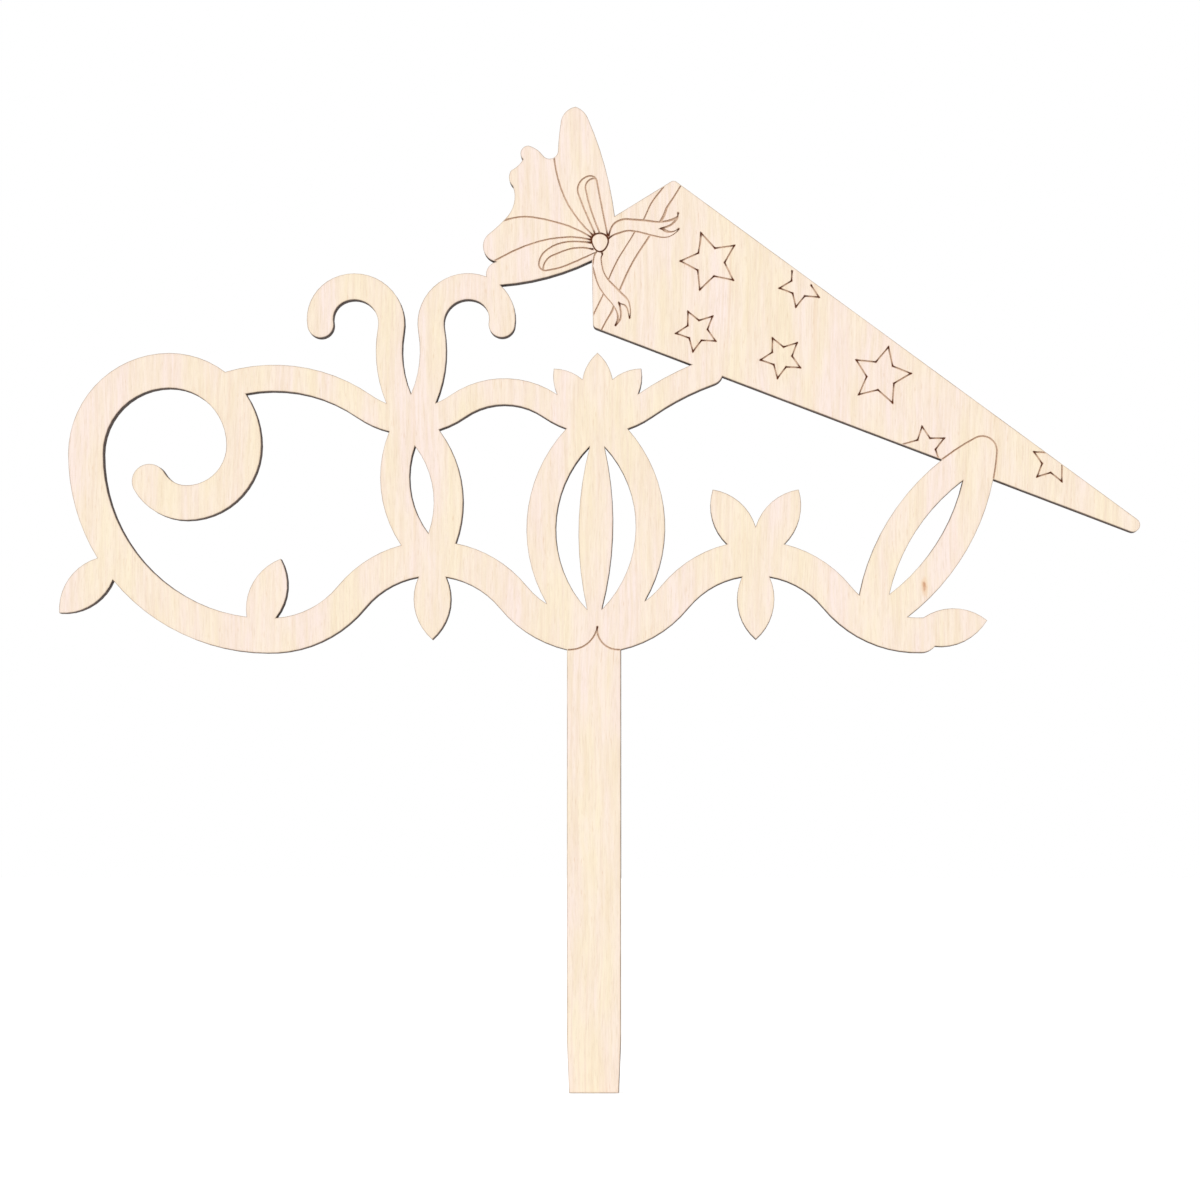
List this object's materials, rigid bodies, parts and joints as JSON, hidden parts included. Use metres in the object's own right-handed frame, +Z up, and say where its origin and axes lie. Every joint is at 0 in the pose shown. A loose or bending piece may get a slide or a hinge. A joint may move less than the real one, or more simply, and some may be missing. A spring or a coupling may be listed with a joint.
{
  "type": "cake topper",
  "caption": "Flat plywood cake topper: openwork scrolls and leaves under a slanting gift cone with scored stars, frill and bow, on a long stake that is pushed into a cake.",
  "frame": {"origin": "Root of the stake on its centre line, level with the underside of the ornament and halfway through the board", "axes": "X to the right as seen from the scored front, Z up along the stake, Y from the scored front to the plain back, so the front faces -Y"},
  "size_m": [0.1504, 0.003, 0.1373],
  "materials": {
    "face_veneer": "bare, finely sanded, burnt along the cut edges",
    "core_veneer": "bare, burnt along the cut edges"
  },
  "bodies": {
    "root": {"front_veneer": "face_veneer", "core_veneer": "core_veneer", "rear_veneer": "face_veneer"}
  },
  "joints": []
}
